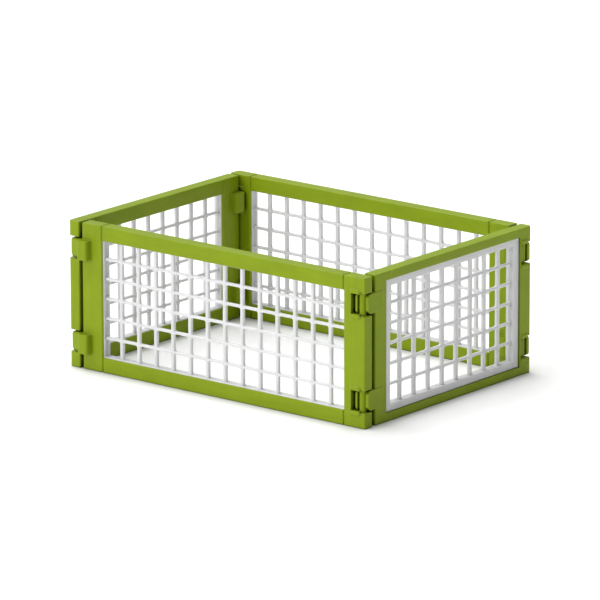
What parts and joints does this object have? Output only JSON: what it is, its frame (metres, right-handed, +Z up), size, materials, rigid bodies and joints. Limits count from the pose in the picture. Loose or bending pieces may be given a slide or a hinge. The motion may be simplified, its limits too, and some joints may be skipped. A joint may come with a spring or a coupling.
{
  "type": "miniature livestock pen",
  "caption": "Miniature livestock pen of clip-together frame panels with white mesh, open at top and bottom.",
  "frame": {"origin": "on the ground, at the middle of the whole object's box", "axes": "+Z up; X along the long panels; the front panel faces -Y"},
  "size_m": [0.1204, 0.088, 0.048],
  "materials": {
    "frame_green": "satin moulded",
    "mesh_white": "satin moulded"
  },
  "bodies": {
    "front_panel": {"front_pin_post": "frame_green", "front_hook_post": "frame_green", "front_lower_rail": "frame_green", "front_upper_rail": "frame_green", "front_mesh": "mesh_white"},
    "right_panel": {"right_pin_post": "frame_green", "right_hook_post": "frame_green", "right_lower_rail": "frame_green", "right_upper_rail": "frame_green", "right_mesh": "mesh_white"},
    "back_panel": {"back_pin_post": "frame_green", "back_hook_post": "frame_green", "back_lower_rail": "frame_green", "back_upper_rail": "frame_green", "back_mesh": "mesh_white"},
    "left_panel": {"left_pin_post": "frame_green", "left_hook_post": "frame_green", "left_lower_rail": "frame_green", "left_upper_rail": "frame_green", "left_mesh": "mesh_white"}
  },
  "joints": [
    {"name": "right_panel_gate", "type": "hinge", "parent": "front_panel", "child": "right_panel", "pos_m": [0.0576, -0.03948, 0], "axis": [0, 0, -1], "range_deg": [0, 105]},
    {"name": "left_panel_hinge", "type": "hinge", "parent": "front_panel", "child": "left_panel", "pos_m": [-0.0576, -0.03948, 0], "axis": [0, 0, 1], "range_deg": [0, 4.5]},
    {"name": "back_panel_hinge", "type": "hinge", "parent": "left_panel", "child": "back_panel", "pos_m": [-0.0576, 0.04142, 0], "axis": [0, 0, 1], "range_deg": [-4.5, 0]}
  ],
  "couplings": [
    {"joint": "back_panel_hinge", "follows": "left_panel_hinge", "ratio": -1}
  ]
}
